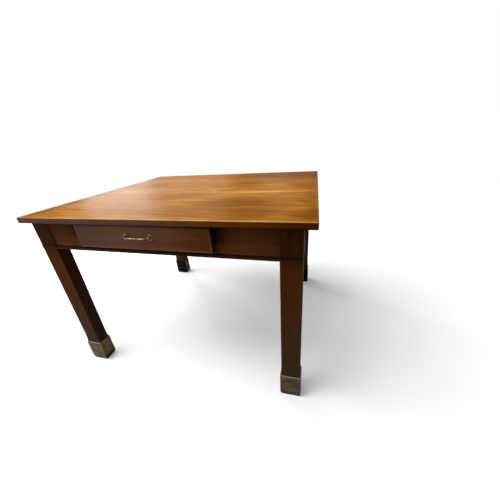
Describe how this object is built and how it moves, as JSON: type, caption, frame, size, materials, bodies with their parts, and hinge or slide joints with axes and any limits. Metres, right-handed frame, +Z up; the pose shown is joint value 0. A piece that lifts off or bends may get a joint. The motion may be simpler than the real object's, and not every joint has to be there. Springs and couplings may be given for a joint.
{
  "type": "campaign desk",
  "caption": "Writing desk on straight rectangular legs with brass-shod block feet, a solid board top, and a proud shallow drawer that slides out by a brass bow handle.",
  "frame": {"origin": "bottom centre of the bounding box, on the floor", "axes": "+X along the desk's length to the right as seen from the front, front with the drawer faces -Y, +Z up"},
  "size_m": [1.116, 0.9874, 0.76],
  "materials": {
    "top_wood": "polished honey-brown hardwood, worn sheen",
    "frame_wood": "dark red-brown stained hardwood, satin",
    "inner_wood": "plain unfinished softwood",
    "handle_brass": "aged brass, rubbed bright on the bar",
    "shoe_brass": "dull dark patina",
    "steel": "plain"
  },
  "bodies": {
    "desk": {"back_rail": "frame_wood", "base_frame_back": "frame_wood", "base_frame_front": "frame_wood", "base_frame_left": "frame_wood", "base_frame_right": "frame_wood", "corner_post_back_left": "frame_wood", "corner_post_back_right": "frame_wood", "corner_post_front_left": "frame_wood", "corner_post_front_right": "frame_wood", "drawer_guide_left": "inner_wood", "drawer_guide_right": "inner_wood", "drawer_kicker_left": "inner_wood", "drawer_kicker_right": "inner_wood", "drawer_runner_left": "inner_wood", "drawer_runner_right": "inner_wood", "front_panel_left": "frame_wood", "front_panel_right": "frame_wood", "front_rail_lower": "frame_wood", "front_rail_upper": "frame_wood", "leg_back_left": "frame_wood", "leg_back_right": "frame_wood", "leg_front_left": "frame_wood", "leg_front_right": "frame_wood", "leg_studs": "steel", "post_inserts": "handle_brass", "shoe_back_left": "shoe_brass", "shoe_back_right": "shoe_brass", "shoe_front_left": "shoe_brass", "shoe_front_right": "shoe_brass", "shoe_screws": "steel", "side_rail_left": "frame_wood", "side_rail_right": "frame_wood", "top_board_1": "top_wood", "top_board_2": "top_wood", "top_board_3": "top_wood", "top_board_4": "top_wood", "top_board_5": "top_wood", "top_buttons": "inner_wood", "top_screws": "steel", "top_tongues": "inner_wood"},
    "drawer": {"drawer_back": "inner_wood", "drawer_bottom": "inner_wood", "drawer_bottom_screws": "steel", "drawer_front": "frame_wood", "drawer_side_left": "inner_wood", "drawer_side_right": "inner_wood", "handle_bow": "handle_brass", "handle_rosette_left": "handle_brass", "handle_rosette_right": "handle_brass", "handle_screws": "handle_brass"}
  },
  "joints": [
    {"name": "drawer_slide", "type": "slide", "parent": "desk", "child": "drawer", "axis": [0, -1, 0], "range_m": [0, 0.42]}
  ]
}
